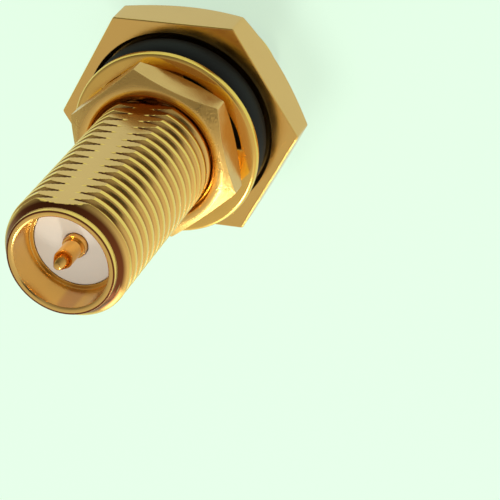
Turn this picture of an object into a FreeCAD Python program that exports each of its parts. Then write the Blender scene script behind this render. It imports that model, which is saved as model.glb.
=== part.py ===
import FreeCAD, Part
import math
import os

import Sketcher

# A bulkhead coaxial adapter: one turned body with an external thread at each end, a hexagonal flange,
# a male contact held by two insulators, and on the long barrel an O-ring, a lock washer and a nut.
# The axis is +Z. The part stands on the rim of its short end, at height zero, with the barrel up.

SIZES = [
    ("thread_radius", 3.175, "outside radius of both threads"),
    ("rim_step", 0.475, "rim of each mouth, inside the thread's outside"),
    ("rim_height", 0.30, "straight part of the rim, below its chamfer"),
    ("neck_depth", 0.525, "neck below the flange, inside the thread's outside"),
    ("short_thread_end", 3.15, "height at which the short thread ends"),
    ("flange_front", 5.20, "height of the flange's lower face"),
    ("flange_thickness", 2.25, "flange along the axis"),
    ("flange_land", 0.69, "metal outside the groove at the flange's flats"),
    ("flange_face_margin", 0.10, "flange's flats outside the round face of its corner chamfer"),
    ("flange_turn", -18.3, "angle of one flange corner from +X"),
    ("flange_chamfer_angle", 35.5, "slope of the flange's corner chamfer"),
    ("barrel_length", 15.20, "barrel above the flange"),
    ("relief_depth", 0.135, "undercut that the O-ring grips, inside the thread's outside"),
    ("relief_height", 1.00, "undercut above the flange's upper face"),
    ("flat_depth", 0.56, "milled flat, inside the thread's outside"),
    ("flat_start", 1.30, "lower end of the flat, above the flange"),
    ("rim_wall", 0.35, "rim, from its outside to the counterbore"),
    ("mouth_depth", 1.82, "depth of each counterbore"),
    ("mouth_bevel", 0.08, "bevel at the rim's inner edge"),
    ("mouth_step", 0.21, "bore that holds an insulator, inside the counterbore"),
    ("land_depth", 0.34, "inner land between the insulators, inside their bore"),
    ("land_length", 1.60, "land along the axis"),
    ("groove_margin", 0.06, "O-ring to the outside of its groove"),
    ("groove_depth", 0.50, "depth of the O-ring's groove"),
    ("oring_section", 0.89, "radius of the O-ring's section"),
    ("oring_gap", 0.01, "O-ring to the undercut, and to the groove's floor"),
    ("insulator_gap", 0.02, "insulator to bore, and to contact"),
    ("insulator_recess", 0.03, "insulator's face below the counterbore's floor"),
    ("pin_radius", 0.46, "mating pin"),
    ("pin_tip_radius", 0.20, "flat end of the pin's cone"),
    ("pin_cone", 0.65, "length of the pin's cone"),
    ("short_pin_recess", 0.10, "short end's pin, from its tip to the rim's plane"),
    ("long_pin_rise", 0.35, "long end's pin, beyond the rim's plane"),
    ("shaft_step", 0.125, "contact inside the insulators, outside the pin"),
    ("shaft_proud", 0.30, "shaft beyond the insulator's face"),
    ("collar_gap", 0.55, "contact's collar to the land, trapped between the insulators"),
    ("washer_play", 0.30, "washer's teeth to the outside of the thread"),
    ("tooth_length", 0.675, "each tooth, from the ring inwards"),
    ("washer_ring_width", 0.80, "washer's ring, from its inside to its outside"),
    ("washer_thickness", 0.40, "thickness of the washer's ring"),
    ("washer_chamfer", 0.15, "rolled-over upper edge of the washer"),
    ("washer_hang", 0.24, "loose washer, off the axis towards -X"),
    ("washer_turn", 5.0, "angle of one tooth from +X"),
    ("tooth_width", 1.50, "width of a tooth"),
    ("tooth_thickness", 0.35, "thickness of a tooth, coined a little thinner than the ring"),
    ("tooth_twist", 20.0, "twist of a tooth's inner end"),
    ("tooth_root", 0.10, "tooth's root inside the ring"),
    ("tooth_count", 8, "number of teeth"),
    ("washer_gap", 0.18, "O-ring to the washer's teeth"),
    ("nut_gap", 0.02, "washer's teeth to the nut"),
    ("nut_clearance", 0.05, "nut's bore to the outside of the thread"),
    ("nut_countersink", 0.225, "widening at each end of the nut's bore"),
    ("nut_wall", 0.775, "nut's wall at its flats"),
    ("nut_chamfer_angle", 30.0, "slope of the nut's corner chamfers"),
    ("nut_face_margin", 0.20, "nut's flats outside the round faces of its corner chamfers"),
    ("nut_thickness", 1.85, "nut along the axis"),
    ("nut_turn", 20.9, "angle of one nut corner from +X"),
]

# Radii that follow from a neighbour's radius, as expressions on the sheet.
THREAD = "Sizes.thread_radius"
RIM = f"({THREAD} - Sizes.rim_step)"
NECK = f"({THREAD} - Sizes.neck_depth)"
RELIEF = f"({THREAD} - Sizes.relief_depth)"
MOUTH = f"({RIM} - Sizes.rim_wall)"
BORE = f"({MOUTH} - Sizes.mouth_step)"
LAND = f"({BORE} - Sizes.land_depth)"
SHAFT = "(Sizes.pin_radius + Sizes.shaft_step)"
COLLAR = f"({LAND} - Sizes.collar_gap)"
ORING_MIDDLE_RADIUS = f"({RELIEF} + Sizes.oring_gap + Sizes.oring_section)"
GROOVE = f"({ORING_MIDDLE_RADIUS} + Sizes.oring_section + Sizes.groove_margin)"
FLANGE_FLATS = f"(2 * ({GROOVE} + Sizes.flange_land))"
FLANGE_FACE = f"({FLANGE_FLATS} / 2 - Sizes.flange_face_margin)"
TOOTH_TIP = f"({THREAD} + Sizes.washer_play)"
WASHER_INSIDE = f"({TOOTH_TIP} + Sizes.tooth_length)"
WASHER_OUTSIDE = f"({WASHER_INSIDE} + Sizes.washer_ring_width)"
NUT_BORE = f"({THREAD} + Sizes.nut_clearance)"
NUT_MOUTH = f"({NUT_BORE} + Sizes.nut_countersink)"
NUT_FLATS = f"(2 * ({NUT_BORE} + Sizes.nut_wall))"
NUT_FACE = f"({NUT_FLATS} / 2 - Sizes.nut_face_margin)"

# Heights that several pieces share.
FLANGE_BACK = "(Sizes.flange_front + Sizes.flange_thickness)"
TOP = "(Sizes.flange_front + Sizes.flange_thickness + Sizes.barrel_length)"
LAND_LOW = f"(({TOP} - Sizes.land_length) / 2)"
LAND_HIGH = f"(({TOP} + Sizes.land_length) / 2)"
LOW_FACE = "(Sizes.mouth_depth + Sizes.insulator_recess)"
HIGH_FACE = f"({TOP} - Sizes.mouth_depth - Sizes.insulator_recess)"
GROOVE_FLOOR = f"({FLANGE_BACK} - Sizes.groove_depth)"
ORING_MIDDLE = f"({GROOVE_FLOOR} + Sizes.oring_gap + Sizes.oring_section)"
TWIST = "(Sizes.tooth_twist * 1 deg)"
TOOTH_DROP = f"(Sizes.tooth_thickness / 2 + Sizes.tooth_width / 2 * sin({TWIST} / 2))"
TOOTH_RISE = f"(Sizes.tooth_thickness / 2 * cos{TWIST} + Sizes.tooth_width / 2 * sin{TWIST})"
WASHER_MIDDLE = f"({ORING_MIDDLE} + Sizes.oring_section + Sizes.washer_gap + {TOOTH_DROP})"
NUT_BACK = f"({WASHER_MIDDLE} + {TOOTH_RISE} + Sizes.nut_gap)"
NUT_FRONT = f"({NUT_BACK} + Sizes.nut_thickness)"
PIN_LOW = "Sizes.short_pin_recess"
PIN_HIGH = f"({TOP} + Sizes.long_pin_rise)"

doc = FreeCAD.newDocument("adapter")
sheet = doc.addObject("Spreadsheet::Sheet", "Sizes")
for row, (alias, value, meaning) in enumerate(SIZES, start=1):
    sheet.set(f"A{row}", meaning)
    sheet.set(f"B{row}", str(value))
    sheet.setAlias(f"B{row}", alias)
doc.recompute()


# Bodies and sketches

def new_body(label):
    body = doc.addObject("PartDesign::Body", label)
    body.Label = label
    return body


def new_sketch(body, name, role):
    # An empty sketch on one of the body's own origin planes.
    sketch = body.newObject("Sketcher::SketchObject", name)
    plane = next(item for item in body.Origin.OriginFeatures if item.Role == role)
    sketch.AttachmentSupport = [(plane, "")]
    sketch.MapMode = "FlatFace"
    return sketch


def place_point(sketch, edge, across, up):
    # Ties an edge's first point to the sketch's origin by two expressions, where "0" means on the axis.
    for kind, axis, expression in (("DistanceX", -2, across), ("DistanceY", -1, up)):
        if expression == "0":
            sketch.addConstraint(Sketcher.Constraint("PointOnObject", edge, 1, axis))
            continue
        index = sketch.addConstraint(Sketcher.Constraint(kind, -1, 1, edge, 1, 1.0))
        sketch.setExpression(f"Constraints[{index}]", expression)


def draw_outline(sketch, corners):
    # A closed outline of straight edges, whose corners are pairs of expressions.
    count = len(corners)
    turns = [2 * math.pi * k / count for k in range(count)]
    ring = [FreeCAD.Vector(9 + 4 * math.cos(turn), 9 + 4 * math.sin(turn), 0) for turn in turns]
    for k in range(count):
        sketch.addGeometry(Part.LineSegment(ring[k], ring[(k + 1) % count]), False)
    for k in range(count):
        sketch.addConstraint(Sketcher.Constraint("Coincident", k, 2, (k + 1) % count, 1))
    for k, (across, up) in enumerate(corners):
        place_point(sketch, k, across, up)


def draw_hexagon(sketch, across_flats):
    # A regular hexagon in a construction circle, with its first corner on the sketch's X axis.
    turns = [k * math.pi / 3 for k in range(6)]
    spots = [FreeCAD.Vector(5 * math.cos(turn), 5 * math.sin(turn), 0) for turn in turns]
    for k in range(6):
        sketch.addGeometry(Part.LineSegment(spots[k], spots[(k + 1) % 6]), False)
    circle = sketch.addGeometry(Part.Circle(FreeCAD.Vector(0, 0, 0), FreeCAD.Vector(0, 0, 1), 5), True)
    sketch.addConstraint(Sketcher.Constraint("Coincident", circle, 3, -1, 1))
    for k in range(6):
        sketch.addConstraint(Sketcher.Constraint("Coincident", k, 2, (k + 1) % 6, 1))
        sketch.addConstraint(Sketcher.Constraint("PointOnObject", k, 1, circle))
    for k in range(1, 6):
        sketch.addConstraint(Sketcher.Constraint("Equal", 0, k))
    sketch.addConstraint(Sketcher.Constraint("PointOnObject", 0, 1, -1))
    radius = sketch.addConstraint(Sketcher.Constraint("Radius", circle, 5.0))
    sketch.setExpression(f"Constraints[{radius}]", f"{across_flats} / 2 / cos(30 deg)")


def turn_profile(body, kind, name, corners):
    # Turns an outline in the XZ plane about the axis, adding or cutting.
    sketch = new_sketch(body, name + "_outline", "XZ_Plane")
    draw_outline(sketch, corners)
    feature = body.newObject(kind, name)
    feature.Profile = sketch
    feature.ReferenceAxis = (sketch, ["V_Axis"])
    feature.Angle = 360
    return feature


def pad_hexagon(body, name, across_flats, height, thickness, turn):
    sketch = new_sketch(body, name + "_outline", "XY_Plane")
    draw_hexagon(sketch, across_flats)
    sketch.setExpression("AttachmentOffset.Base.z", height)
    sketch.setExpression("AttachmentOffset.Rotation.Angle", f"{turn} * 1 deg")
    pad = body.newObject("PartDesign::Pad", name)
    pad.Profile = sketch
    pad.setExpression("Length", thickness)
    return pad


def cut_corners(body, name, across_flats, face_radius, face, side, angle):
    # A corner chamfer on a hexagon: a cone that leaves a round face. Side is "+" or "-", into the metal.
    corners = [
        (face_radius, face),
        (across_flats, face),
        (across_flats, f"{face} {side} ({across_flats} - {face_radius}) * tan({angle} * 1 deg)"),
    ]
    return turn_profile(body, "PartDesign::Groove", name, corners)


# Connector body: turned outside, hexagonal flange, groove for the O-ring, milled flat, stepped bore

def make_connector_body():
    body = new_body("connector_body")
    inside_flange = f"({GROOVE_FLOOR} + Sizes.flange_front) / 2"
    relief_end = f"({FLANGE_BACK} + Sizes.relief_height)"
    turn_profile(body, "PartDesign::Revolution", "turned_outside", [
        ("0", "0"),
        (RIM, "0"),
        (RIM, "Sizes.rim_height"),
        (THREAD, "Sizes.rim_height + Sizes.rim_step"),
        (THREAD, "Sizes.short_thread_end"),
        (NECK, "Sizes.short_thread_end + Sizes.neck_depth"),
        (NECK, inside_flange),
        (RELIEF, inside_flange),
        (RELIEF, relief_end),
        (THREAD, f"{relief_end} + Sizes.relief_depth"),
        (THREAD, f"{TOP} - Sizes.rim_height - Sizes.rim_step"),
        (RIM, f"{TOP} - Sizes.rim_height"),
        (RIM, TOP),
        ("0", TOP),
    ])
    pad_hexagon(body, "flange", FLANGE_FLATS, "Sizes.flange_front", "Sizes.flange_thickness",
                "Sizes.flange_turn")
    cut_corners(body, "flange_chamfer", FLANGE_FLATS, FLANGE_FACE, "Sizes.flange_front", "+",
                "Sizes.flange_chamfer_angle")
    turn_profile(body, "PartDesign::Groove", "oring_groove", [
        (RELIEF, GROOVE_FLOOR),
        (GROOVE, GROOVE_FLOOR),
        (GROOVE, FLANGE_BACK),
        (RELIEF, FLANGE_BACK),
    ])
    turn_profile(body, "PartDesign::Groove", "stepped_bore", [
        ("0", "0"),
        (f"{MOUTH} + Sizes.mouth_bevel", "0"),
        (MOUTH, "Sizes.mouth_bevel"),
        (MOUTH, "Sizes.mouth_depth"),
        (BORE, "Sizes.mouth_depth"),
        (BORE, LAND_LOW),
        (LAND, LAND_LOW),
        (LAND, LAND_HIGH),
        (BORE, LAND_HIGH),
        (BORE, f"{TOP} - Sizes.mouth_depth"),
        (MOUTH, f"{TOP} - Sizes.mouth_depth"),
        (MOUTH, f"{TOP} - Sizes.mouth_bevel"),
        (f"{MOUTH} + Sizes.mouth_bevel", TOP),
        ("0", TOP),
    ])
    sketch = new_sketch(body, "flat_outline", "XY_Plane")
    flat = f"{THREAD} - Sizes.flat_depth"
    reach = f"(2 * {THREAD})"
    draw_outline(sketch, [
        (flat, f"-{reach}"),
        (reach, f"-{reach}"),
        (reach, reach),
        (flat, reach),
    ])
    sketch.setExpression("AttachmentOffset.Base.z", TOP)
    milled = body.newObject("PartDesign::Pocket", "milled_flat")
    milled.Profile = sketch
    milled.setExpression("Length", "Sizes.barrel_length - Sizes.flat_start")
    return body


# Insulators and contact

def make_insulator(label, low, high):
    body = new_body(label)
    inside = f"{SHAFT} + Sizes.insulator_gap"
    outside = f"{BORE} - Sizes.insulator_gap"
    turn_profile(body, "PartDesign::Revolution", label + "_turned", [
        (inside, low),
        (outside, low),
        (outside, high),
        (inside, high),
    ])
    return body


def make_contact():
    body = new_body("centre_contact")
    shaft_low = f"({LOW_FACE} - Sizes.shaft_proud)"
    shaft_high = f"({HIGH_FACE} + Sizes.shaft_proud)"
    collar_low = f"({LAND_LOW} + Sizes.insulator_gap)"
    collar_high = f"({LAND_HIGH} - Sizes.insulator_gap)"
    turn_profile(body, "PartDesign::Revolution", "contact_turned", [
        ("0", PIN_LOW),
        ("Sizes.pin_tip_radius", PIN_LOW),
        ("Sizes.pin_radius", f"{PIN_LOW} + Sizes.pin_cone"),
        ("Sizes.pin_radius", shaft_low),
        (SHAFT, shaft_low),
        (SHAFT, collar_low),
        (COLLAR, collar_low),
        (COLLAR, collar_high),
        (SHAFT, collar_high),
        (SHAFT, shaft_high),
        ("Sizes.pin_radius", shaft_high),
        ("Sizes.pin_radius", f"{PIN_HIGH} - Sizes.pin_cone"),
        ("Sizes.pin_tip_radius", PIN_HIGH),
        ("0", PIN_HIGH),
    ])
    return body


# O-ring, lock washer and nut

def make_oring():
    ring = doc.addObject("Part::Torus", "o_ring")
    ring.Label = "o_ring"
    ring.setExpression("Radius1", ORING_MIDDLE_RADIUS)
    ring.setExpression("Radius2", "Sizes.oring_section")
    ring.setExpression("Placement.Base.z", ORING_MIDDLE)
    return ring


def tooth_section(body, name, distance, twist):
    # The tooth's cross-section, standing across a radius at a distance from the axis.
    sketch = new_sketch(body, name, "YZ_Plane")
    half_width = "Sizes.tooth_width / 2"
    half_thickness = "Sizes.tooth_thickness / 2"
    draw_outline(sketch, [
        (f"-{half_width}", f"-{half_thickness}"),
        (half_width, f"-{half_thickness}"),
        (half_width, half_thickness),
        (f"-{half_width}", half_thickness),
    ])
    sketch.setExpression("AttachmentOffset.Base.y", WASHER_MIDDLE)
    sketch.setExpression("AttachmentOffset.Base.z", distance)
    sketch.setExpression("AttachmentOffset.Rotation.Angle", twist)
    return sketch


def make_lock_washer():
    body = new_body("lock_washer")
    low = f"{WASHER_MIDDLE} - Sizes.washer_thickness / 2"
    high = f"{WASHER_MIDDLE} + Sizes.washer_thickness / 2"
    turn_profile(body, "PartDesign::Revolution", "washer_ring", [
        (WASHER_INSIDE, low),
        (WASHER_OUTSIDE, low),
        (WASHER_OUTSIDE, f"{high} - Sizes.washer_chamfer"),
        (f"{WASHER_OUTSIDE} - Sizes.washer_chamfer", high),
        (WASHER_INSIDE, high),
    ])
    root = tooth_section(body, "tooth_root_section", f"{WASHER_INSIDE} + Sizes.tooth_root", "0 deg")
    tip = tooth_section(body, "tooth_tip_section", TOOTH_TIP, TWIST)
    tooth = body.newObject("PartDesign::AdditiveLoft", "tooth")
    tooth.Profile = root
    tooth.Sections = [tip]
    tooth.Ruled = True
    doc.recompute()
    teeth = body.newObject("PartDesign::PolarPattern", "teeth")
    teeth.Originals = [tooth]
    teeth.Axis = (next(item for item in body.Origin.OriginFeatures if item.Role == "Z_Axis"), [""])
    teeth.Angle = 360
    teeth.setExpression("Occurrences", "Sizes.tooth_count")
    body.Tip = teeth
    body.setExpression("Placement.Rotation.Angle", "Sizes.washer_turn * 1 deg")
    body.setExpression("Placement.Base.x", "-Sizes.washer_hang")
    return body


def make_nut():
    body = new_body("hex_nut")
    pad_hexagon(body, "nut_blank", NUT_FLATS, NUT_BACK, "Sizes.nut_thickness", "Sizes.nut_turn")
    slope = "Sizes.nut_chamfer_angle"
    cut_corners(body, "nut_back_chamfer", NUT_FLATS, NUT_FACE, NUT_BACK, "+", slope)
    cut_corners(body, "nut_front_chamfer", NUT_FLATS, NUT_FACE, NUT_FRONT, "-", slope)
    turn_profile(body, "PartDesign::Groove", "nut_bore", [
        ("0", NUT_BACK),
        (NUT_MOUTH, NUT_BACK),
        (NUT_BORE, f"{NUT_BACK} + Sizes.nut_countersink"),
        (NUT_BORE, f"{NUT_FRONT} - Sizes.nut_countersink"),
        (NUT_MOUTH, NUT_FRONT),
        ("0", NUT_FRONT),
    ])
    return body


pieces = [
    make_connector_body(),
    make_insulator("short_end_insulator", LOW_FACE, LAND_LOW),
    make_insulator("long_end_insulator", LAND_HIGH, HIGH_FACE),
    make_contact(),
    make_oring(),
    make_lock_washer(),
    make_nut(),
]
doc.recompute()

for item in doc.Objects:
    if "Invalid" in item.State or "Error" in item.State:
        raise RuntimeError(f"{item.Label} could not be built: {item.State}")
for piece in pieces:
    if piece.Shape.isNull() or not piece.Shape.isValid():
        raise RuntimeError(f"{piece.Label} has no sound shape")

os.makedirs("parts", exist_ok=True)
for piece in pieces:
    box = piece.Shape.BoundBox
    print(f"{piece.Label}: {piece.Shape.Volume:.3f} cubic mm, height {box.ZMin:.3f} to {box.ZMax:.3f}")
    piece.Shape.exportStep(f"parts/{piece.Label}.step")
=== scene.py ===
import math

import bmesh
import bpy
import numpy as np
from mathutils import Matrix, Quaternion, Vector


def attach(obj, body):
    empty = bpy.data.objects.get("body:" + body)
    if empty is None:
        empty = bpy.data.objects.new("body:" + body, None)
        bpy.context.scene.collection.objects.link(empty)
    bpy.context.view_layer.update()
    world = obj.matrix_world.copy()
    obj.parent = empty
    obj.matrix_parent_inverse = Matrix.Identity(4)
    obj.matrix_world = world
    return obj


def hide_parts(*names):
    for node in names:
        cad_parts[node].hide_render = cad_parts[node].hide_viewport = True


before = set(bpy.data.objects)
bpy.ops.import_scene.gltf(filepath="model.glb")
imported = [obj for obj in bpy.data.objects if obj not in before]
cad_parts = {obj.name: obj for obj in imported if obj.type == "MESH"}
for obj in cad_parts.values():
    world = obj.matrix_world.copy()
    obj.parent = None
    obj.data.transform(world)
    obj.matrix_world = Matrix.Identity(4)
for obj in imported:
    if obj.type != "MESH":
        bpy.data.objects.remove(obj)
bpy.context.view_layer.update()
print("frame loaded")

# Sizes that several pieces share, in mm, with heights above the rim of the short end.
shared = {
    "pitch": 0.705556,         # one turn of the thread
    "threadRadius": 3.175,     # crest of both outside threads
    "rimRadius": 2.70,
    "rimHeight": 0.30,         # straight part of each rim, before its chamfer
    "mouthRadius": 2.35,
    "mouthBevel": 0.08,
    "mouthDepth": 1.82,
    "boreRadius": 2.14,
    "shaftRadius": 0.585,
    "flangeFront": 5.20,
    "flangeBack": 7.45,
    "landLow": 10.525,
    "landHigh": 12.125,
    "landRadius": 1.80,
    "top": 22.65,              # rim of the long barrel
    "crestWidth": 0.300,       # of the thread, along the axis
    "flankEnd": 0.478,         # where the flank meets the root, from the same start
    "rootDepth": 0.310,
    "shadeFullRadius": 2.90,       # the brown painted shade in a groove is full up to here
    "shadeGoneRadius": 3.06,       # and gold from here
    "shadeFromRadius": 2.60,         # inside this radius nothing is a groove
}

# One turn of the thread: how far along the pitch, and how deep below the crest, both in mm.
# A wide crest with rounded edges, two straight flanks and a narrow root.
crestWidth = shared["crestWidth"]
flankSteps = np.linspace(0, 1, 5)
flankAlong = crestWidth + (shared["flankEnd"] - crestWidth) * flankSteps
flankDepth = 0.030 + (shared["rootDepth"] - 0.040) * flankSteps
threadShape = np.array(
    [(0.000, 0.030), (0.035, 0.010), (0.085, 0.000), (0.215, 0.000), (0.265, 0.010)]
    + list(zip(flankAlong, flankDepth))
    + [((crestWidth + shared["pitch"]) / 2, shared["rootDepth"])]
    + list(zip(crestWidth + shared["pitch"] - flankAlong[:0:-1], flankDepth[:0:-1]))
)


# Surfaces

def smoothStep(value):
    # From 0 to 1 with a level start and end: three squares less two cubes.
    value = np.clip(value, 0, 1)
    return value * value * (3 - 2 * value)


def threadDrop(height, angle):
    # Depth below the crest: the shape above, read at the height less the helix's rise at that angle.
    pitch = shared["pitch"]
    along = np.mod(height - pitch * angle / (2 * math.pi), pitch)
    return np.interp(along, threadShape[:, 0], threadShape[:, 1], period=pitch)


def threadHeights(low, high, angle):
    # Rows that climb one pitch per turn along the thread's edges, held between two heights.
    pitch = shared["pitch"]
    first = math.floor(low / pitch) - 2
    last = math.ceil(high / pitch) + 2
    starts = np.concatenate([threadShape[:, 0] + turn * pitch for turn in range(first, last)])
    rows = np.clip(starts[:, None] + pitch * angle[None, :] / (2 * math.pi), low, high)
    inside = (rows.max(axis=1) > low) & (rows.min(axis=1) < high)
    return np.vstack([np.full((1, angle.size), low), rows[inside], np.full((1, angle.size), high)])


def hexRadius(angle, flats, turn, rounding):
    # A hexagon in polar form: half the flats over the cosine of the angle from the nearest flat's middle.
    # Near a corner it is the corner's rounding circle instead, seen from the axis.
    fromFlat = np.mod(angle - turn, math.pi / 3) - math.pi / 6
    straight = flats / 2 / np.cos(fromFlat)
    centre = (flats / 2 - rounding) / math.cos(math.pi / 6)
    fromCorner = math.pi / 6 - np.abs(fromFlat)
    reach = np.clip(rounding ** 2 - (centre * np.sin(fromCorner)) ** 2, 0, None)
    arc = centre * np.cos(fromCorner) + np.sqrt(reach)
    tangent = math.atan2(centre / 2, flats / 2)
    return np.where(np.abs(fromFlat) > tangent, np.minimum(arc, straight), straight)


def turnedAngles(count, turn=None, extra=()):
    # Even columns all round, more at a hexagon's corners and wherever extra ones are asked for.
    angles = [np.arange(count) * 2 * math.pi / count]
    if turn is not None:
        near = np.radians([-0.75, -0.4, 0, 0.4, 0.75])
        angles.append((turn + np.arange(6)[:, None] * math.pi / 3 + near[None, :]).ravel())
    angles.append(np.array(extra, dtype=float))
    merged = np.sort(np.mod(np.concatenate(angles), 2 * math.pi))
    kept = merged[np.concatenate([[True], np.diff(merged) > math.radians(0.12)])]
    return np.concatenate([kept, [kept[0] + 2 * math.pi]])


def ringRow(radius, height, angle):
    # One row that is the same all round: its radii and its heights.
    return np.full((1, angle.size), float(radius)), np.full((1, angle.size), float(height))


def stack(rows):
    # All rows in order, as one array of radii and one of heights.
    return np.vstack([row[0] for row in rows]), np.vstack([row[1] for row in rows])


def gridPoints(radius, height, angle):
    # Each point stands at its radius and height, at its column's angle, in mm.
    across = radius * np.cos(angle)[None, :]
    along = radius * np.sin(angle)[None, :]
    return np.stack([across, along, np.broadcast_to(height, radius.shape)], axis=-1)


def gridFaces(rows, columns, closeRows=False, closeColumns=False, start=0):
    # Four corners of every cell, numbered row by row.
    lastRow = rows if closeRows else rows - 1
    lastColumn = columns if closeColumns else columns - 1
    row = np.arange(lastRow)[:, None]
    column = np.arange(lastColumn)[None, :]
    nextRow = (row + 1) % rows
    nextColumn = (column + 1) % columns
    cells = [row * columns + column, row * columns + nextColumn,
             nextRow * columns + nextColumn, nextRow * columns + column]
    return np.stack(cells, axis=-1).reshape(-1, 4) + start


def makePiece(name, points, faces, material, node, body, sharp=38):
    # Points in mm become a closed mesh in metres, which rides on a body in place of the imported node.
    mesh = bpy.data.meshes.new(name)
    metres = np.asarray(points).reshape(-1, 3) * 0.001
    mesh.from_pydata(metres.tolist(), [], [list(face) for face in faces])
    work = bmesh.new()
    work.from_mesh(mesh)
    bmesh.ops.remove_doubles(work, verts=work.verts, dist=1e-7)  # joins the seams and poles
    work.to_mesh(mesh)
    work.free()
    mesh.shade_smooth()
    mesh.set_sharp_from_angle(angle=math.radians(sharp))
    mesh.materials.append(material)
    piece = bpy.data.objects.new(name, mesh)
    bpy.context.scene.collection.objects.link(piece)
    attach(piece, body)
    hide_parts(node)
    print(name, "has", sum(len(face.vertices) - 2 for face in mesh.polygons), "triangles")
    return piece


# Colours and nodes

def linear(hexText):
    # An sRGB colour in hex, turned into the linear one that the shaders take.
    parts = [int(hexText[k:k + 2], 16) / 255 for k in (1, 3, 5)]
    return [part / 12.92 if part <= 0.04045 else ((part + 0.055) / 1.055) ** 2.4 for part in parts] + [1.0]


def addNode(tree, kind, values=None, links=None, **settings):
    node = tree.nodes.new(kind)
    for name, value in settings.items():
        setattr(node, name, value)
    for socket, value in (values or {}).items():
        node.inputs[socket].default_value = value
    for socket, source in (links or {}).items():
        tree.links.new(source, node.inputs[socket])
    return node


def newMaterial(name):
    material = bpy.data.materials.new(name)
    material.use_nodes = True
    material.node_tree.nodes.clear()
    return material, material.node_tree


def coarseMask(tree, look, place, radius, steep):
    # 1 where the tool left coarse marks. The coned corners lie beyond one radius, and face neither along
    # the axis nor straight out. Where a piece has a scuffed side, that side of its end faces is marked too.
    beyond = addNode(tree, "ShaderNodeMath", {1: look["coneRadius"] * 0.001},
                     {0: radius.outputs["Value"]}, operation="GREATER_THAN")
    coned = addNode(tree, "ShaderNodeMath", {1: 0.84, 2: 0.10}, {0: steep.outputs[0]}, operation="COMPARE")
    corner = addNode(tree, "ShaderNodeMath", links={0: beyond.outputs[0], 1: coned.outputs[0]},
                     operation="MULTIPLY")
    if "scuffSide" not in look:
        return corner
    aside = addNode(tree, "ShaderNodeVectorMath", {1: look["scuffSide"]}, {0: place.outputs["Object"]},
                    operation="DOT_PRODUCT")
    reached = addNode(tree, "ShaderNodeMapRange", {
        "From Min": look["scuffFrom"] * 0.001,
        "From Max": look["scuffFull"] * 0.001,
    }, {"Value": aside.outputs["Value"]})
    level = addNode(tree, "ShaderNodeMath", {1: 0.8}, {0: steep.outputs[0]}, operation="GREATER_THAN")
    scuff = addNode(tree, "ShaderNodeMath", links={0: reached.outputs[0], 1: level.outputs[0]},
                    operation="MULTIPLY")
    return addNode(tree, "ShaderNodeMath", links={0: corner.outputs[0], 1: scuff.outputs[0]},
                   operation="MAXIMUM")


def grooveShadeMask(tree, radius, steep):
    # 1 low on a thread's flanks, where the grooves get a brown painted shade: below its crest, outside the
    # bores, and facing partly along the axis.
    depth = addNode(tree, "ShaderNodeMapRange", {
        "From Min": shared["shadeFullRadius"] * 0.001,
        "From Max": shared["shadeGoneRadius"] * 0.001,
        "To Min": 1.0,
        "To Max": 0.0,
    }, {"Value": radius.outputs["Value"]})
    flank = addNode(tree, "ShaderNodeMapRange", {"From Min": 0.30, "From Max": 0.60},
                    {"Value": steep.outputs[0]})
    outside = addNode(tree, "ShaderNodeMath", {1: shared["shadeFromRadius"] * 0.001},
                      {0: radius.outputs["Value"]}, operation="GREATER_THAN")
    groove = addNode(tree, "ShaderNodeMath", links={0: depth.outputs[0], 1: flank.outputs[0]},
                     operation="MULTIPLY")
    return addNode(tree, "ShaderNodeMath", links={0: groove.outputs[0], 1: outside.outputs[0]},
                   operation="MULTIPLY")


def milledShadeMask(tree, look, place, radius, steep):
    # 1 on milled faces: those that look one way, and the upright ones beyond one radius. Their darker gold
    #                    is partly their finish and partly painted shade, which dims what they reflect.
    along = addNode(tree, "ShaderNodeVectorMath", {1: look["milledSide"]}, {0: place.outputs["Normal"]},
                    operation="DOT_PRODUCT")
    milled = addNode(tree, "ShaderNodeMapRange", {"From Min": 0.970, "From Max": 0.990},
                     {"Value": along.outputs["Value"]})
    outer = addNode(tree, "ShaderNodeMath", {1: look["milledRadius"] * 0.001},
                    {0: radius.outputs["Value"]}, operation="GREATER_THAN")
    upright = addNode(tree, "ShaderNodeMath", {1: 0.15}, {0: steep.outputs[0]}, operation="LESS_THAN")
    side = addNode(tree, "ShaderNodeMath", links={0: outer.outputs[0], 1: upright.outputs[0]},
                   operation="MULTIPLY")
    return addNode(tree, "ShaderNodeMath", links={0: milled.outputs["Result"], 1: side.outputs[0]},
                   operation="MAXIMUM")


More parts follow.
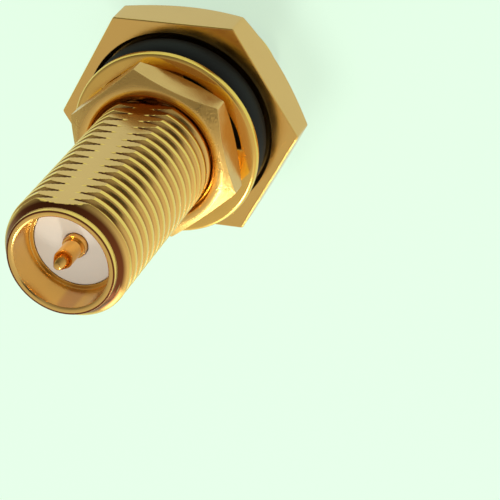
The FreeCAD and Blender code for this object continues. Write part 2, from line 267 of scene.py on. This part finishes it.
def makePlating(name, look):
    # Gold plating is a coloured mirror, softened by fine grain in its relief and by patches that are a
    # little rougher. A look that names a cone's radius also has coarsely cut corners, milled faces in a
    # darker gold, which is partly their finish and partly painted shade, and a thread with a brown painted
    # shade low in its grooves.
    # The real grain is finer than the grain's size in mm, and is drawn as coarse as it needs to show.
    material, tree = newMaterial(name)
    place = addNode(tree, "ShaderNodeTexCoord")
    grain = addNode(tree, "ShaderNodeTexNoise", {"Scale": 1000 / look["grainSize"], "Detail": 2.0},
                    {"Vector": place.outputs["Object"]})
    patch = addNode(tree, "ShaderNodeTexNoise", {"Scale": 1000 / look["patchSize"], "Detail": 3.0},
                    {"Vector": place.outputs["Object"]})
    rough = addNode(tree, "ShaderNodeMapRange", {
        "From Min": 0.35,
        "From Max": 0.65,
        "To Min": look["roughness"] - look["roughnessSpread"],
        "To Max": look["roughness"] + look["roughnessSpread"],
    }, {"Value": patch.outputs["Fac"]})
    soft = addNode(tree, "ShaderNodeBevel", {"Radius": look["edge"] * 0.001}, samples=6)
    bump = addNode(tree, "ShaderNodeBump", {"Strength": 1.0, "Distance": look["grainDepth"] * 0.001},
                   {"Height": grain.outputs["Fac"], "Normal": soft.outputs["Normal"]})
    shader = addNode(tree, "ShaderNodeBsdfPrincipled",
                     {"Metallic": 1.0, "Base Color": linear(look["colour"])},
                     {"Roughness": rough.outputs["Result"], "Normal": bump.outputs["Normal"]})
    addNode(tree, "ShaderNodeOutputMaterial", links={"Surface": shader.outputs["BSDF"]})
    if "coneRadius" not in look:
        return material

    flatwise = addNode(tree, "ShaderNodeVectorMath", {1: (1.0, 1.0, 0.0)}, {0: place.outputs["Object"]},
                       operation="MULTIPLY")
    radius = addNode(tree, "ShaderNodeVectorMath", links={0: flatwise.outputs[0]}, operation="LENGTH")
    facing = addNode(tree, "ShaderNodeSeparateXYZ", links={0: place.outputs["Normal"]})
    steep = addNode(tree, "ShaderNodeMath", links={0: facing.outputs["Z"]}, operation="ABSOLUTE")
    cut = coarseMask(tree, look, place, radius, steep)
    coarse = addNode(tree, "ShaderNodeMath", {1: look["coneRoughness"]},
                     {0: cut.outputs[0], 2: rough.outputs["Result"]}, operation="MULTIPLY_ADD")
    relief = addNode(tree, "ShaderNodeMath", {1: look["coneGrain"] - 1, 2: 1.0}, {0: cut.outputs[0]},
                     operation="MULTIPLY_ADD")
    height = addNode(tree, "ShaderNodeMath", links={0: grain.outputs["Fac"], 1: relief.outputs[0]},
                     operation="MULTIPLY")
    # Brown painted shade low on the thread's flanks, standing in for the shade that falls in its grooves.
    shadeInGroove = grooveShadeMask(tree, radius, steep)
    colour = addNode(tree, "ShaderNodeMix", {6: linear(look["colour"]), 7: linear(look["grooveShadeColour"])},
                     {0: shadeInGroove.outputs[0]}, data_type="RGBA")
    # Milled faces in a darker gold: partly their finish, partly painted shade that dims what they reflect.
    milledShade = milledShadeMask(tree, look, place, radius, steep)
    shadedBase = addNode(tree, "ShaderNodeMix", {7: linear(look["milledShadeColour"])},
                     {0: milledShade.outputs[0], 6: colour.outputs[2]}, data_type="RGBA")
    tree.links.new(height.outputs[0], bump.inputs["Height"])
    tree.links.new(coarse.outputs[0], shader.inputs["Roughness"])
    tree.links.new(shadedBase.outputs[2], shader.inputs["Base Color"])
    return material


def makePlain(name, look):
    # One even colour with grain in its relief, drawn as coarse as it needs to show.
    material, tree = newMaterial(name)
    place = addNode(tree, "ShaderNodeTexCoord")
    grain = addNode(tree, "ShaderNodeTexNoise", {"Scale": 1000 / look["grainSize"], "Detail": 2.0},
                    {"Vector": place.outputs["Object"]})
    bump = addNode(tree, "ShaderNodeBump", {"Strength": 1.0, "Distance": look["grainDepth"] * 0.001},
                   {"Height": grain.outputs["Fac"]})
    shader = addNode(tree, "ShaderNodeBsdfPrincipled",
                     {"Base Color": linear(look["colour"]), "Roughness": look["roughness"]},
                     {"Normal": bump.outputs["Normal"]})
    addNode(tree, "ShaderNodeOutputMaterial", links={"Surface": shader.outputs["BSDF"]})
    return material


# Connector body
# Turned brass under satin gold plating. The eye sees a warm mirror, a little blurred by the tool's marks,
# which sparkles on the flange's coned corners.

bodyLook = {
    "columns": 132,             # round the axis, before the extra ones at corners and at the flat
    "flangeFlats": 11.16,       # mm across flats, and so are all sizes here without another unit
    "flangeTurn": -18.3,        # degrees from +X to one corner
    "flangeFace": 5.48,         # radius of the round face that the corners' chamfer leaves
    "flangeSlope": 35.5,        # degrees
    "cornerRounding": 0.15,
    "edge": 0.05,               # small bevels
    "grooveRadius": 4.89,
    "grooveDepth": 0.50,
    "grooveBevel": 0.15,        # its outer edge is broken
    "undercutRadius": 3.04,
    "undercutHeight": 1.00,     # above the flange
    "neckRadius": 2.65,
    "shortThreadEnd": 3.15,
    "rootFade": 0.70,           # over which the long thread's groove runs out into the undercut
    "flatDistance": 2.858,      # axis to milled flat
    "flatTurn": 11.7,           # degrees from +X, parallel to one side of the flange
    "flatStart": 1.30,          # above the flange
    "flatRunOut": 0.20,         # over which it comes in from the crest
    "colour": "#F4C66E",
    "roughness": 0.19,
    "roughnessSpread": 0.04,
    "grainSize": 0.09,
    "grainDepth": 0.0016,
    "patchSize": 1.2,
    # painted shade: the brown low in the thread's grooves
    "grooveShadeColour": "#7C4424",
    "milledSide": (0.979, 0.203, 0.0),  # which way the flat looks
    "milledRadius": 5.40,       # beyond which each upright side is milled
    # a darker gold on milled faces: partly their finish, partly painted shade
    "milledShadeColour": "#DDAA6C",
    "coneRadius": 5.50,         # the flange's coned corners lie beyond it
    "coneRoughness": 0.10,      # added there
    "coneGrain": 5.0,           # times the grain's depth
}
bodyPlate = makePlating("satin gold plating on turned brass", bodyLook)


def mouthProfile(face, into):
    # A mouth from its rim to the insulator's bore, as pairs of radius and height, with small bevels at its
    # corners. "into" is +1 or -1.
    rim = shared["rimRadius"]
    mouth = shared["mouthRadius"]
    bevel = shared["mouthBevel"]
    depth = shared["mouthDepth"]
    pairs = [(rim, 0.04), (rim - 0.012, 0.012), (rim - 0.04, 0), (mouth + bevel + 0.02, 0),
             (mouth + bevel - 0.005, 0.01), (mouth + 0.005, bevel - 0.01), (mouth, bevel + 0.02),
             (mouth, depth - 0.03), (mouth - 0.03, depth), (shared["boreRadius"] + 0.02, depth),
             (shared["boreRadius"], depth + 0.02)]
    return [(radius, face + into * height) for radius, height in pairs]


def bodySurface():
    # A turned profile: rows of radius and height from the short end's mouth, over the outside, to the long
    # end's mouth and back through the bore. On the threads the radius is the crest's less the drop.
    turn = math.radians(bodyLook["flangeTurn"])
    crest = shared["threadRadius"]
    distance = bodyLook["flatDistance"]
    # Columns stand where the milled flat meets each depth of the thread, so that the flat's edges are crisp.
    depths = np.unique(threadShape[:, 1])
    meets = np.degrees(np.arccos(distance / (crest - depths)))
    between = [4, 8, 11]
    nearFlat = np.concatenate([meets, (meets[1:] + meets[:-1]) / 2, between])
    flatTurn = bodyLook["flatTurn"]
    nearFlat = np.concatenate([flatTurn + nearFlat, flatTurn - nearFlat])
    angle = turnedAngles(bodyLook["columns"], turn, np.radians(nearFlat))
    edge = bodyLook["edge"]
    fillet = 0.06
    front = shared["flangeFront"]
    back = shared["flangeBack"]
    rim = shared["rimRadius"]
    rimHeight = shared["rimHeight"]
    top = shared["top"]
    neck = bodyLook["neckRadius"]
    hexagon = hexRadius(angle, bodyLook["flangeFlats"], turn, bodyLook["cornerRounding"])[None, :]
    slope = math.tan(math.radians(bodyLook["flangeSlope"]))

    shortHeight = threadHeights(rimHeight, bodyLook["shortThreadEnd"], angle)
    shortRadius = np.minimum(crest - threadDrop(shortHeight, angle[None, :]), rim + shortHeight - rimHeight)
    undercut = bodyLook["undercutRadius"]
    threadLow = back + bodyLook["undercutHeight"] + crest - undercut
    longHeight = threadHeights(threadLow, top - rimHeight, angle)
    fade = smoothStep((longHeight - threadLow) / bodyLook["rootFade"])
    longRadius = crest - fade * threadDrop(longHeight, angle[None, :])
    longRadius = np.minimum(longRadius, rim + top - rimHeight - longHeight)

    mouth = mouthProfile(0, 1)
    rows = [ringRow(*mouth[1], angle), ringRow(*mouth[0], angle), (shortRadius, shortHeight)]
    face = bodyLook["flangeFace"]
    # The neck and the flange's face, with two rings between them that keep its cells even.
    rows += [ringRow(radius, height, angle) for radius, height in (
        (neck, bodyLook["shortThreadEnd"] + crest - neck), (neck, front - 0.04), (neck + 0.04, front),
        (3.6, front), (4.5, front), (face, front))]
    for share in (0.25, 0.5, 0.75, 1.0):  # the cone that chamfers the corners, up to the hexagon's sides
        cone = face + share * (hexagon - face)
        rows.append((cone, front + (cone - face) * slope))
    joint = front + (hexagon - face) * slope
    for share in (0.33, 0.67, 1.0):
        rows.append((hexagon, joint + share * (back - edge - joint)))
    rows.append((hexagon - edge, np.full_like(hexagon, back)))
    groove = bodyLook["grooveRadius"]
    bottom = back - bodyLook["grooveDepth"]
    bevel = bodyLook["grooveBevel"]
    rows += [ringRow(radius, height, angle) for radius, height in (
        (groove + bevel, back), (groove, back - bevel), (groove, bottom + fillet), (groove - fillet, bottom),
        (undercut + fillet, bottom), (undercut, bottom + fillet), (undercut, threadLow - crest + undercut))]
    rows.append((longRadius, longHeight))
    bore = shared["boreRadius"]
    land = shared["landRadius"]
    landLow = shared["landLow"]
    landHigh = shared["landHigh"]
    rows += [ringRow(radius, height, angle) for radius, height in mouthProfile(top, -1)]
    rows += [ringRow(radius, height, angle) for radius, height in (
        (bore, landHigh), (land, landHigh), (land, landLow), (bore, landLow))]
    rows += [ringRow(radius, height, angle) for radius, height in mouth[:1:-1]]
    radius, height = stack(rows)
    # The milled flat: nothing above its start stands further out along its normal than its distance.
    # Its radius at a column is that distance over the cosine of the column's angle from the normal.
    runOut = bodyLook["flatRunOut"]
    rise = smoothStep((back + bodyLook["flatStart"] + runOut / 2 - height) / runOut)
    limit = distance + rise * 10
    cosine = np.cos(angle - math.radians(flatTurn))[None, :]
    leastCosine = 0.1
    farAway = 99.0
    cut = np.where(cosine > leastCosine, limit / np.maximum(cosine, leastCosine), farAway)
    onFlat = (cut <= radius + 1e-6) & (height > back)
    radius = np.minimum(radius, cut)
    points = gridPoints(radius, height, angle)
    faces = gridFaces(radius.shape[0], angle.size, closeRows=True)
    return points, splitAtFlat(faces, onFlat.ravel())


def splitAtFlat(faces, onFlat):
    # A cell with one corner off the flat loses that corner as a triangle, along the flat's true edge.
    off = ~onFlat[faces]
    single = off.sum(axis=1) == 1
    cells = faces[single]
    first = off[single].argmax(axis=1)
    turned = np.stack([cells[np.arange(len(cells)), (first + k) % 4] for k in range(4)], axis=1)
    corner = turned[:, [3, 0, 1]]
    rest = turned[:, [1, 2, 3]]
    return faces[~single].tolist() + corner.tolist() + rest.tolist()


points, faces = bodySurface()
makePiece("bodyTurned", points, faces, bodyPlate, "connector_body", "connector", sharp=30)


# Insulators
# Fluoropolymer turned from rod. The eye sees a soft, slightly warm white with a dull sheen.

insulatorLook = {
    "columns": 96,
    "clearance": 0.02,          # mm, to the bore and to the contact
    "edge": 0.04,
    "recess": 0.03,             # its face lies this much deeper than the mouth
    "colour": "#DED7C8",
    "roughness": 0.5,
    "grainSize": 0.12,
    "grainDepth": 0.002,
}
insulatorWhite = makePlain("turned white fluoropolymer", insulatorLook)


def insulatorSurface(low, high):
    # A turned ring with a bevel on each of its four edges.
    angle = turnedAngles(insulatorLook["columns"])
    inside = shared["shaftRadius"] + insulatorLook["clearance"]
    outside = shared["boreRadius"] - insulatorLook["clearance"]
    edge = insulatorLook["edge"]
    rows = [ringRow(radius, height, angle) for radius, height in (
        (inside + edge, low), (outside - edge, low), (outside, low + edge), (outside, high - edge),
        (outside - edge, high), (inside + edge, high), (inside, high - edge), (inside, low + edge))]
    radius, height = stack(rows)
    return gridPoints(radius, height, angle), gridFaces(radius.shape[0], angle.size, closeRows=True)


recessed = shared["mouthDepth"] + insulatorLook["recess"]
points, faces = insulatorSurface(recessed, shared["landLow"])
makePiece("insulatorShort", points, faces, insulatorWhite,
          "short_end_insulator", "connector")
points, faces = insulatorSurface(shared["landHigh"], shared["top"] - recessed)
makePiece("insulatorLong", points, faces, insulatorWhite,
          "long_end_insulator", "connector")


# Centre contact
# Polished gold plating. The eye sees a sharper and redder mirror than the body's.

contactLook = {
    "columns": 72,
    "pinRadius": 0.46,          # mm, as all sizes here
    "tipRadius": 0.20,
    "cone": 0.65,
    "shortTip": 0.10,           # height of the short end's tip
    "longRise": 0.35,           # long end's tip beyond the rim
    "shoulder": 1.55,           # depth of each pin's shoulder below its rim
    "collarRadius": 1.20,
    "collarGap": 0.02,          # collar to insulator
    "colour": "#F2BC62",
    "roughness": 0.17,
    "roughnessSpread": 0.03,
    "grainSize": 0.06,
    "grainDepth": 0.0008,
    "patchSize": 0.6,
    "edge": 0.02,
}
contactPlate = makePlating("polished gold plating", contactLook)


def contactSurface():
    # A turned profile from one tip to the other. Each pin is a cone, a cylinder and a wider shoulder.
    angle = turnedAngles(contactLook["columns"])
    shaft = shared["shaftRadius"]
    pin = contactLook["pinRadius"]
    tip = contactLook["tipRadius"]
    cone = contactLook["cone"]
    depth = contactLook["shoulder"]
    gap = contactLook["collarGap"]

    def pinEnd(end, shoulder, collar, into):
        return [(0.0, end), (tip * 0.7, end + into * 0.006), (tip, end + into * 0.05),
                (pin - 0.01, end + into * cone), (pin, end + into * (cone + 0.04)),
                (pin, shoulder - into * 0.015), (pin + 0.015, shoulder), (shaft - 0.03, shoulder),
                (shaft, shoulder + into * 0.03), (shaft, collar), (contactLook["collarRadius"], collar)]

    low = pinEnd(contactLook["shortTip"], depth, shared["landLow"] + gap, 1)
    top = shared["top"]
    high = pinEnd(top + contactLook["longRise"], top - depth, shared["landHigh"] - gap, -1)
    radius, height = stack([ringRow(radius, height, angle) for radius, height in low + high[::-1]])
    return gridPoints(radius, height, angle), gridFaces(radius.shape[0], angle.size)


points, faces = contactSurface()
makePiece("contactPin", points, faces, contactPlate, "centre_contact", "connector")


# O-ring
# Moulded black rubber. The eye sees a deep matte black with a broad, faint shine.

ringLook = {
    "columns": 128,             # round the axis
    "around": 40,               # round the section
    "middleRadius": 3.94,       # mm, axis to the middle of the section
    "sectionRadius": 0.889,
    "rise": 0.40,               # middle of the section above the flange
    "colour": "#030304",
    "roughness": 0.70,
    "grainSize": 0.10,
    "grainDepth": 0.0015,
}
ringRubber = makePlain("moulded black rubber", ringLook)


def oringSurface():
    # A torus: a circle of the section's radius carried round the axis.
    angle = turnedAngles(ringLook["columns"])
    count = ringLook["around"]
    around = np.arange(count) * 2 * math.pi / count
    section = ringLook["sectionRadius"]
    middle = shared["flangeBack"] + ringLook["rise"]
    radius = ringLook["middleRadius"] + section * np.cos(around)[:, None] * np.ones((1, angle.size))
    height = middle + section * np.sin(around)[:, None] * np.ones((1, angle.size))
    return gridPoints(radius, height, angle), gridFaces(count, angle.size, closeRows=True)


points, faces = oringSurface()
makePiece("sealingRing", points, faces, ringRubber, "o_ring", "connector")


# Lock washer
# Stamped bronze under gold plating. The eye sees the body's gold with softer, less even reflections.

washerLook = {
    "columns": 128,
    "low": 9.0252,             # height of the ring's lower face, in mm, as all sizes here
    "high": 9.4252,
    "inside": 4.15,
    "outside": 4.95,
    "rolled": 0.20,            # radius of the rolled-over upper edge
    "hang": 0.24,              # the loose washer's shift off the axis, towards -X
    "teeth": 8,
    "turn": 5.0,               # degrees from +X to the first tooth
    "toothWidth": 1.50,
    "toothThickness": 0.35,
    "toothCorner": 0.05,
    "toothRoot": 4.25,         # radius at which a tooth starts, inside the ring
    "toothLength": 0.775,
    "twist": 20.0,             # degrees, at the tooth's inner end
    "colour": "#F2C464",
    "roughness": 0.22,
    "roughnessSpread": 0.05,
    "grainSize": 0.09,
    "grainDepth": 0.0012,
    "patchSize": 0.9,
    "edge": 0.03,
}
washerPlate = makePlating("gold plating on stamped bronze", washerLook)


def washerSurface():
    # A turned ring whose upper outer edge is a quarter circle.
    angle = turnedAngles(washerLook["columns"])
    low = washerLook["low"]
    high = washerLook["high"]
    inside = washerLook["inside"]
    outside = washerLook["outside"]
    rolled = washerLook["rolled"]
    profile = [(inside + 0.03, low), (outside - 0.03, low), (outside, low + 0.03), (outside, high - rolled)]
    for share in np.radians([15, 30, 45, 60, 75, 90]):
        across = outside - rolled + rolled * math.cos(share)
        profile.append((across, high - rolled + rolled * math.sin(share)))
    profile += [(inside + 0.03, high), (inside, high - 0.03), (inside, low + 0.03)]
    radius, height = stack([ringRow(radius, height, angle) for radius, height in profile])
    points = [gridPoints(radius, height, angle).reshape(-1, 3)]
    faces = [gridFaces(radius.shape[0], angle.size, closeRows=True)]
    start = points[0].shape[0]
    # A tooth: a rectangle with rounded corners, carried inwards along a radius while it twists.
    halfWidth = washerLook["toothWidth"] / 2
    halfThick = washerLook["toothThickness"] / 2 - 0.002
    corner = washerLook["toothCorner"]
    quarter = np.radians([0, 30, 60, 90])
    section = []
    for signX, signY, base in ((1, 1, 0), (-1, 1, 90), (-1, -1, 180), (1, -1, 270)):
        for share in quarter:
            heading = share + math.radians(base)
            section.append((signX * (halfWidth - corner) + corner * math.cos(heading),
                            signY * (halfThick - corner) + corner * math.sin(heading)))
    section = np.array(section)
    stations = np.linspace(0, 1, 10)
    middle = (low + high) / 2
    for k in range(washerLook["teeth"]):
        heading = math.radians(washerLook["turn"] + k * 360 / washerLook["teeth"])
        rings = []
        for share in np.concatenate([[0], stations, [1]]):
            scale = 0.0 if len(rings) in (0, len(stations) + 1) else 1.0  # the ends close on a point
            reach = washerLook["toothRoot"] - share * washerLook["toothLength"]
            twist = math.radians(washerLook["twist"]) * share
            side = scale * (section[:, 0] * math.cos(twist) - section[:, 1] * math.sin(twist))
            up = scale * (section[:, 0] * math.sin(twist) + section[:, 1] * math.cos(twist))
            across = reach * math.cos(heading) - side * math.sin(heading)
            along = reach * math.sin(heading) + side * math.cos(heading)
            rings.append(np.stack([across, along, middle + up], axis=-1))
        block = np.stack(rings)
        points.append(block.reshape(-1, 3))
        faces.append(gridFaces(block.shape[0], block.shape[1], closeColumns=True, start=start)[:, ::-1])
        start += block.shape[0] * block.shape[1]
    points = np.vstack(points)
    points[:, 0] -= washerLook["hang"]
    return points, np.vstack(faces)


points, faces = washerSurface()
makePiece("washerToothed", points, faces, washerPlate, "lock_washer", "washer_on_barrel")


# Nut
# The same satin gold plating as the body's. The eye sees a brighter grain where the tool has scuffed one
# side of the nut's faces.

nutLook = {
    "columns": 150,
    "back": 9.6662,            # height of the nut's lower face, in mm, as all sizes here
    "front": 11.5162,
    "flats": 8.0,
    "turn": 20.9,              # degrees from +X to one corner
    "slope": 30.0,             # corner chamfers, in degrees
    "cornerRounding": 0.10,
    "faceRadius": 3.80,
    "mouthRadius": 3.45,
    "clearance": 0.045,        # thread of the nut to thread of the barrel
    "colour": "#F4C66E",
    "roughness": 0.21,
    "roughnessSpread": 0.05,
    "grainSize": 0.09,
    "grainDepth": 0.0018,
    "patchSize": 0.8,
    "edge": 0.04,
    # painted shade: the brown low in the thread's grooves
    "grooveShadeColour": "#7C4424",
    "milledSide": (0.979, 0.203, 0.0),  # which way one face in the darker gold looks, which is partly painted shade
    "milledRadius": 3.90,      # beyond which each upright side is milled
    # a darker gold on milled faces: partly their finish, partly painted shade
    "milledShadeColour": "#DDAA6C",
    "scuffSide": (-0.26, -0.97, 0.0),
    "scuffFrom": 1.6,          # how far from the axis it begins
    "scuffFull": 3.2,
    "coneRadius": 3.82,
    "coneRoughness": 0.10,
    "coneGrain": 11.0,
}
nutPlate = makePlating("satin gold plating on the nut", nutLook)


def nutSurface():
    # A turned profile whose outside is a hexagon, with a cone at each end that takes off the corners, and
    # whose bore is the thread's crest and clearance less the drop, widened by a cone at each mouth.
    turn = math.radians(nutLook["turn"])
    angle = turnedAngles(nutLook["columns"], turn)
    hexagon = hexRadius(angle, nutLook["flats"], turn, nutLook["cornerRounding"])[None, :]
    face = nutLook["faceRadius"]
    mouth = nutLook["mouthRadius"]
    back = nutLook["back"]
    front = nutLook["front"]
    slope = math.tan(math.radians(nutLook["slope"]))
    rows = [ringRow(mouth + 0.02, back, angle), ringRow(face, back, angle)]
    shares = (0.33, 0.67, 1.0)
    cones = [face + share * (hexagon - face) for share in shares]
    rows += [(cone, back + (cone - face) * slope) for cone in cones]
    low = back + (hexagon - face) * slope
    high = front - (hexagon - face) * slope
    rows += [(hexagon, low + share * (high - low)) for share in shares]
    rows += [(cone, front - (cone - face) * slope) for cone in [cones[1], cones[0]]]
    rows += [ringRow(face, front, angle), ringRow(mouth + 0.02, front, angle)]
    height = threadHeights(back + 0.02, front - 0.02, angle)[::-1]
    crest = shared["threadRadius"] + nutLook["clearance"]
    radius = crest - threadDrop(height, angle[None, :])
    radius = np.maximum(radius, mouth - (height - back))
    radius = np.maximum(radius, mouth - (front - height))
    rows.append((radius, height))
    radius, height = stack(rows)
    return gridPoints(radius, height, angle), gridFaces(radius.shape[0], angle.size, closeRows=True)


points, faces = nutSurface()
makePiece("nutThreaded", points, faces, nutPlate, "hex_nut", "nut_on_thread")


# Floor, light and camera

studio = {
    "floorHalf": 2.0,          # metres
    "floorColour": "#E4FFE8",
    "floorGlow": 0.70,         # share of the pale backdrop's colour that doesn't depend on the light
    "worldColour": "#FFFDF8",
    "worldMiddle": 0.48,       # the room's light, from the side that is neither bright nor dark
    "worldSwing": 0.35,        # brighter by this towards the window's side, and darker away from it
    "brightSide": (-0.78, -0.62, 0.0),
    "darkSide": (0.34, -0.31, 0.888),  # where the room has a dark shape, such as the one holding the camera
    "darkInner": 0.985,        # cosines of the angles at which it is full and gone
    "darkOuter": 0.950,
    "darkLevel": 0.08,
    "lampDistance": 0.30,      # metres, for every lamp
    "lampHeight": 0.01,        # of the point that the lamps face
    "keyDirection": (-0.90, -0.36, 0.26),
    "keySize": 0.16,
    "keyPower": 0.13,          # watts
    "topDirection": (0.02, -0.04, 1.00),
    "topSize": 0.14,
    "topPower": 0.40,
    "glintDirection": (-0.68, -0.33, 0.63),
    "glintSize": 0.05,
    "glintPower": 0.26,
    "lens": 164.425,           # mm, on a sensor 36 mm wide
    "cameraPlace": (0.05709, -0.02920, 0.105244),
    "cameraTurn": (0.754167, -0.085714, 0.285076, -0.585334),
}


def addLamp(name, direction, size, power):
    lamp = bpy.data.lights.new(name, "AREA")
    lamp.shape = "DISK"
    lamp.size = size
    lamp.energy = power
    holder = bpy.data.objects.new(name, lamp)
    heading = Vector(direction).normalized()
    holder.location = heading * studio["lampDistance"] + Vector((0, 0, studio["lampHeight"]))
    holder.rotation_euler = heading.to_track_quat("Z", "Y").to_euler()
    bpy.context.scene.collection.objects.link(holder)
    return holder


addLamp("keyLamp", studio["keyDirection"], studio["keySize"], studio["keyPower"])
addLamp("glintLamp", studio["glintDirection"], studio["glintSize"], studio["glintPower"])
# The top lamp stands for light from all over the ceiling, so metal doesn't show it as a disc.
overhead = addLamp("topLamp", studio["topDirection"], studio["topSize"], studio["topPower"])
overhead.visible_glossy = False

# The floor is plain and diffuse. To the eye, and in metal, part of its pale colour is its own glow,
# so that the shadow on it stays light.
floorMaterial, floorTree = newMaterial("pale studio floor")
pale = linear(studio["floorColour"])
floorPlain = addNode(floorTree, "ShaderNodeBsdfDiffuse", {"Color": pale})
floorGlow = addNode(floorTree, "ShaderNodeEmission", {"Color": pale, "Strength": 1.0})
seen = addNode(floorTree, "ShaderNodeMixShader", {0: studio["floorGlow"]},
               {1: floorPlain.outputs[0], 2: floorGlow.outputs[0]})
path = addNode(floorTree, "ShaderNodeLightPath")
mirrored = addNode(floorTree, "ShaderNodeMath", operation="MAXIMUM", links={
    0: path.outputs["Is Glossy Ray"],
    1: path.outputs["Is Transmission Ray"],
})
looked = addNode(floorTree, "ShaderNodeMath", operation="MAXIMUM", links={
    0: path.outputs["Is Camera Ray"],
    1: mirrored.outputs[0],
})
floorShader = addNode(floorTree, "ShaderNodeMixShader",
                      links={0: looked.outputs[0], 1: floorPlain.outputs[0], 2: seen.outputs[0]})
addNode(floorTree, "ShaderNodeOutputMaterial", links={"Surface": floorShader.outputs[0]})
floorMesh = bpy.data.meshes.new("floor")
half = studio["floorHalf"]
floorMesh.from_pydata([(-half, -half, 0), (half, -half, 0), (half, half, 0), (-half, half, 0)], [],
                      [(0, 1, 2, 3)])
floorMesh.materials.append(floorMaterial)
floor = bpy.data.objects.new("floor", floorMesh)
bpy.context.scene.collection.objects.link(floor)

# The room's light: even, but stronger from one side than from the other.
world = bpy.data.worlds.new("studio")
bpy.context.scene.world = world
world.use_nodes = True
worldTree = world.node_tree
worldTree.nodes.clear()
toward = addNode(worldTree, "ShaderNodeTexCoord")
along = addNode(worldTree, "ShaderNodeVectorMath", {1: studio["brightSide"]},
                {0: toward.outputs["Generated"]}, operation="DOT_PRODUCT")
level = addNode(worldTree, "ShaderNodeMath", {1: studio["worldSwing"], 2: studio["worldMiddle"]},
                {0: along.outputs["Value"]}, operation="MULTIPLY_ADD")
near = addNode(worldTree, "ShaderNodeVectorMath", {1: studio["darkSide"]},
               {0: toward.outputs["Generated"]}, operation="DOT_PRODUCT")
shade = addNode(worldTree, "ShaderNodeMapRange", {
    "From Min": studio["darkOuter"],
    "From Max": studio["darkInner"],
    "To Min": 1.0,
    "To Max": studio["darkLevel"],
}, {"Value": near.outputs["Value"]})
shaded = addNode(worldTree, "ShaderNodeMath", links={0: level.outputs[0], 1: shade.outputs[0]},
                 operation="MULTIPLY")
backdrop = addNode(worldTree, "ShaderNodeBackground", {"Color": linear(studio["worldColour"])},
                   {"Strength": shaded.outputs[0]})
addNode(worldTree, "ShaderNodeOutputWorld", links={"Surface": backdrop.outputs["Background"]})

camera = bpy.data.cameras.new("camera")
camera.sensor_width = 36
camera.lens = studio["lens"]
camera.clip_start = 0.005
holder = bpy.data.objects.new("camera", camera)
holder.location = studio["cameraPlace"]
holder.rotation_mode = "QUATERNION"
holder.rotation_quaternion = Quaternion(studio["cameraTurn"])
bpy.context.scene.collection.objects.link(holder)
bpy.context.scene.camera = holder
bpy.context.scene.view_settings.view_transform = "Standard"
print("floor, light and camera placed")
